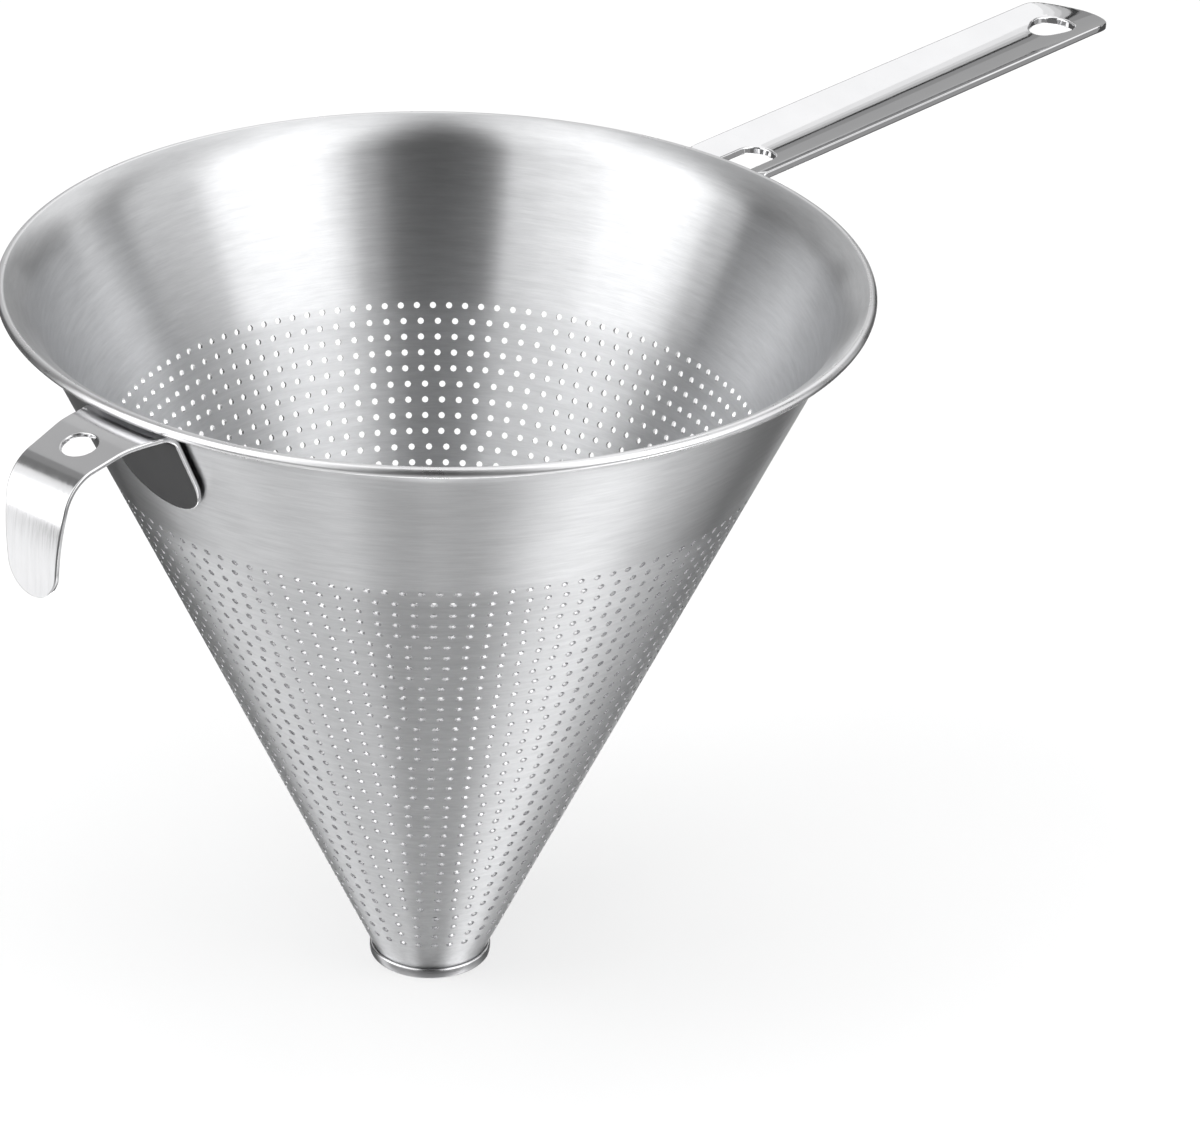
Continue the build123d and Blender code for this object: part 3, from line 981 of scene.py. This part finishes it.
def lay_floor(colour):
    """A plain white floor that keeps a soft shadow."""
    bm = bmesh.new()
    bmesh.ops.create_grid(bm, x_segments=2, y_segments=2, size=FLOOR_SIDE / 2)
    bmesh.ops.translate(bm, vec=(0, 0, CAD_BOX[0][2]), verts=bm.verts)
    material = bpy.data.materials.new("floor_white")
    tree = empty_tree(material)
    sockets = {0: seen_directly(tree), 1: FLOOR_GLOW}
    share = add_node(tree, "ShaderNodeMath", sockets, operation="MULTIPLY")[0]
    diffuse = add_node(tree, "ShaderNodeBsdfDiffuse", {"Color": (*colour, 1)})[0]
    glow = add_node(tree, "ShaderNodeEmission", {})[0]
    mix = add_node(tree, "ShaderNodeMixShader", {"Fac": share, 1: diffuse, 2: glow})[0]
    add_node(tree, "ShaderNodeOutputMaterial", {"Surface": mix})
    floor = mesh_object(bm, "floor", [material])
    floor.visible_glossy = False
    floor.visible_shadow = False


def light_world():
    """A white surround, and an even fill for the rest."""
    world = bpy.data.worlds.new("studio")
    bpy.context.scene.world = world
    tree = empty_tree(world)
    sockets = {"Value": seen_directly(tree), "To Min": FILL_LEVEL, "To Max": 1.0}
    level = add_node(tree, "ShaderNodeMapRange", sockets)["Result"]
    surround = add_node(tree, "ShaderNodeBackground", {"Color": (1, 1, 1, 1), "Strength": level})[0]
    add_node(tree, "ShaderNodeOutputWorld", {"Surface": surround})


def hang_card(name, start, end, low, high, strength):
    """A card of the light tent: a patch of a sphere, seen only in the metal's gloss."""
    bm = bmesh.new()
    azimuth, level = shot_direction(start), math.radians(low)
    first = bm.verts.new(on_ring(TENT_RADIUS * math.cos(level), azimuth, TENT_RADIUS * math.sin(level)))
    sideways = (math.sin(azimuth), -math.cos(azimuth), 0)
    bmesh.ops.spin(
        bm, geom=[first], cent=(0, 0, 0), axis=sideways, dvec=(0, 0, 0), angle=math.radians(high - low),
        steps=math.ceil((high - low) / TENT_STEP), use_duplicate=False,
    )
    bmesh.ops.spin(
        bm, geom=bm.verts[:] + bm.edges[:], cent=(0, 0, 0), axis=(0, 0, 1), dvec=(0, 0, 0),
        angle=math.radians(end - start), steps=math.ceil((end - start) / TENT_STEP), use_duplicate=False,
    )
    material = bpy.data.materials.new(name)
    tree = empty_tree(material)
    glow = add_node(tree, "ShaderNodeEmission", {"Strength": strength})[0]
    add_node(tree, "ShaderNodeOutputMaterial", {"Surface": glow})
    card = mesh_object(bm, name, [material])
    card.visible_camera = False
    card.visible_diffuse = False
    card.visible_shadow = False
    card.visible_transmission = False


def hang_lamp(name, azimuth, elevation, distance, side, energy):
    """A large soft lamp that faces the strainer."""
    data = bpy.data.lights.new(name, "AREA")
    data.shape = "SQUARE"
    data.size = side
    data.energy = energy
    lamp = add_object(name, data)
    level = math.radians(elevation)
    place = on_ring(distance * math.cos(level), shot_direction(azimuth), distance * math.sin(level))
    lamp.matrix_world = Matrix.Translation(place) @ place.to_track_quat("Z", "Y").to_matrix().to_4x4()
    lamp.visible_camera = False
    lamp.visible_glossy = False


# Each lamp: azimuth of the shot, elevation, distance, side and power
LAMPS = {
    "lamp_left": (200, 50, 1.6, 1.0, 14),
    "lamp_right": (320, 55, 1.6, 0.8, 10),
    "lamp_above": (90, 85, 1.5, 1.2, 10),
}

# Each card: start and end azimuth of the shot, past 360 too, lowest and highest elevation, strength
CARDS = {
    "ceiling": (345, 542, 66, 90, 1.1),
    "box_left_far": (170, 182, -12, 35, 1.22),
    "box_left_far_top": (170, 182, 35, 66, 1.1),
    "box_left_bright": (182, 200, -12, 90, 2.3),
    "box_left": (200, 218, -12, 90, 1.85),
    "box_left_near": (218, 236, -12, 90, 1.35),
    "box_left_end": (236, 249, -12, 90, 1.1),
    "gap_near": (249, 288, -12, 90, 0.03),
    "edge_right": (288, 298, -12, 90, 0.4),
    "box_right_end": (298, 305, -12, 90, 1.2),
    "box_right": (305, 335, -12, 90, 1.9),
    "box_right_bright": (335, 345, -12, 90, 2.1),
    "side_right": (345, 374, -12, 66, 1.05),
    "side_right_gap": (374, 388, -12, 66, 0.18),
    "side_right_strip": (388, 398, -12, 66, 0.75),
    "far_right": (398, 425, 10, 25.2, 0.34),
    "far_right_gap": (398, 425, -12, 10, 0.03),
    "far_grey": (425, 451, -12, 15.5, 0.4),
    "far_grey_top": (425, 451, 15.5, 19.4, 0.31),
    "far_line": (425, 451, 19.4, 21.0, 0.05),
    "far_shade": (425, 451, 21.0, 23.2, 0.56),
    "far_edge": (425, 451, 23.2, 25.2, 0.75),
    "far_fade": (398, 451, 25.2, 28.5, 0.95),
    "far_white": (398, 451, 28.5, 66, 1.15),
    "far_left_glow": (451, 457, -12, 19, 1.25),
    "far_left_dim": (457, 463, -12, 19, 0.4),
    "far_left_grey": (451, 463, 19, 66, 0.66),
    "far_left_strip": (463, 478, -12, 12, 0.6),
    "far_left_above": (463, 490, 12, 66, 0.58),
    "far_left_low": (478, 510, -12, 12, 0.1),
    "far_left_turn": (490, 510, 12, 66, 0.34),
    "far_left_gap": (510, 530, -12, 20, 0.05),
    "far_left_bend": (510, 530, 20, 66, 0.24),
    "level_left": (163, 186, -36, -12, 1.32),
    "level_left_near": (186, 235, -36, -12, 0.3),
    "level_near": (235, 300, -36, -12, 0.16),
    "level_right": (300, 330, -36, -12, 0.28),
    "level_right_strip": (330, 345, -36, -12, 0.7),
    "level_right_far": (345, 380, -36, -12, 0.34),
    "level_far": (380, 424, -36, -12, 0.08),
    "level_far_edge": (424, 438, -36, -12, 0.9),
    "level_far_dim": (438, 451, -36, -12, 0.2),
    "level_far_strip": (451, 465, -36, -12, 0.8),
    "level_far_left": (465, 523, -36, -12, 0.1),
    "low_left": (163, 190, -90, -36, 1.55),
    "low_left_dim": (190, 225, -90, -36, 0.72),
    "low_left_end": (225, 240, -90, -36, 1.2),
    "low_gap": (240, 290, -90, -36, 0.44),
    "low_right_edge": (290, 300, -90, -36, 0.38),
    "low_right_dim": (300, 312, -90, -36, 0.65),
    "low_right": (312, 330, -90, -36, 1.25),
    "low_right_bright": (330, 345, -90, -36, 2.6),
    "low_right_end": (345, 374, -90, -36, 1.0),
    "low_right_fade": (374, 386, -90, -36, 0.7),
    "low_far_gap": (386, 427, -90, -36, 0.1),
    "low_far": (427, 472, -90, -36, 2.8),
    "low_far_left_gap": (472, 495, -90, -36, 0.05),
    "low_far_left_dim": (495, 523, -90, -36, 0.1),
}


# Operators, one for each piece

class CHINOIS_OT_cone(bpy.types.Operator):
    """Build the perforated cone with its rolled rim"""

    bl_idname = "chinois.cone"
    bl_label = "Perforated cone"

    def execute(self, context):
        scene = context.scene
        form = ConeForm(scene.chinois_cone)
        bm = build_cone(form, scene.chinois_cone, scene.chinois_holes)
        colours = scene.chinois_colours
        finishes = [
            brushed_cone_finish(colours.brushed),
            satin_finish("hole_steel", colours.polished, roughness=0.25, scale=GRAIN_SCALE),
            polished_finish("bead_steel", colours.polished, roughness=0.28),
        ]
        finish_piece(bm, "perforated_cone", finishes, "cone_steel", "strainer_cone")
        return {"FINISHED"}


class CHINOIS_OT_cap(bpy.types.Operator):
    """Build the crimped base cap"""

    bl_idname = "chinois.cap"
    bl_label = "Base cap"

    def execute(self, context):
        scene = context.scene
        form = ConeForm(scene.chinois_cone)
        bm = build_cap(form, scene.chinois_cap, scene.chinois_holes)
        finishes = [
            # The cap finish is darkened as painted shade; the lip finish is the bright polished steel
            polished_finish("cap_painted_shade_steel", scene.chinois_colours.cap, roughness=0.3),
            polished_finish("lip_steel", scene.chinois_colours.polished, roughness=0.2),
        ]
        finish_piece(bm, "crimped_cap", finishes, "base_steel", "base_cap")
        return {"FINISHED"}


class CHINOIS_OT_handle(bpy.types.Operator):
    """Build the polished handle"""

    bl_idname = "chinois.handle"
    bl_label = "Handle"

    def execute(self, context):
        scene = context.scene
        bm = build_handle(ConeForm(scene.chinois_cone), scene.chinois_strips)
        colour = scene.chinois_colours.polished
        finish = polished_finish("handle_steel", colour, roughness=0.045, scale=(40, 900, 900))
        piece = finish_piece(bm, "polished_handle", [finish], "handle_steel", "handle")
        weight_normals(piece)
        return {"FINISHED"}


class CHINOIS_OT_hook(bpy.types.Operator):
    """Build the rest hook"""

    bl_idname = "chinois.hook"
    bl_label = "Rest hook"

    def execute(self, context):
        scene = context.scene
        bm = build_hook(ConeForm(scene.chinois_cone), scene.chinois_strips)
        colour = scene.chinois_colours.satin
        finish = satin_finish("hook_steel", colour, roughness=0.13, scale=(60, 1200, 60))
        piece = finish_piece(bm, "pressed_hook", [finish], "hook_steel", "rest_hook")
        weight_normals(piece)
        return {"FINISHED"}


class CHINOIS_OT_welds(bpy.types.Operator):
    """Give the hidden spot welds their finish"""

    bl_idname = "chinois.welds"
    bl_label = "Spot welds"

    def execute(self, context):
        finish = weld_finish(context.scene.chinois_colours.weld)
        for node in ("handle_spot_welds", "hook_spot_welds"):
            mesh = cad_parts[node].data
            mesh.materials.clear()
            mesh.materials.append(finish)
        return {"FINISHED"}


class CHINOIS_OT_stage(bpy.types.Operator):
    """Set up the camera, the floor, the cards and the lamps"""

    bl_idname = "chinois.stage"
    bl_label = "Stage"

    def execute(self, context):
        scene = context.scene
        scene.view_settings.view_transform = "Standard"
        place_camera()
        lay_floor(scene.chinois_colours.floor)
        light_world()
        for name, card in CARDS.items():
            hang_card(name, *card)
        for name, lamp in LAMPS.items():
            hang_lamp(name, *lamp)
        return {"FINISHED"}


class CHINOIS_PT_sidebar(bpy.types.Panel):
    """Lists the pieces of the strainer"""

    bl_label = "Chinois strainer"
    bl_idname = "CHINOIS_PT_sidebar"
    bl_space_type = "VIEW_3D"
    bl_region_type = "UI"
    bl_category = "Strainer"

    def draw(self, context):
        for operator in OPERATORS:
            self.layout.operator(operator.bl_idname)


OPERATORS = (
    CHINOIS_OT_stage,
    CHINOIS_OT_cone,
    CHINOIS_OT_cap,
    CHINOIS_OT_handle,
    CHINOIS_OT_hook,
    CHINOIS_OT_welds,
)
CLASSES = (*SIZE_GROUPS.values(), *OPERATORS, CHINOIS_PT_sidebar)


def register():
    for entry in CLASSES:
        bpy.utils.register_class(entry)
    for name, group in SIZE_GROUPS.items():
        setattr(bpy.types.Scene, name, PointerProperty(type=group))


def unregister():
    for name in SIZE_GROUPS:
        delattr(bpy.types.Scene, name)
    for entry in reversed(CLASSES):
        bpy.utils.unregister_class(entry)


def main():
    register()
    bpy.ops.chinois.stage()
    bpy.ops.chinois.cone()
    bpy.ops.chinois.cap()
    bpy.ops.chinois.handle()
    bpy.ops.chinois.hook()
    bpy.ops.chinois.welds()


if __name__ == "__main__":
    main()
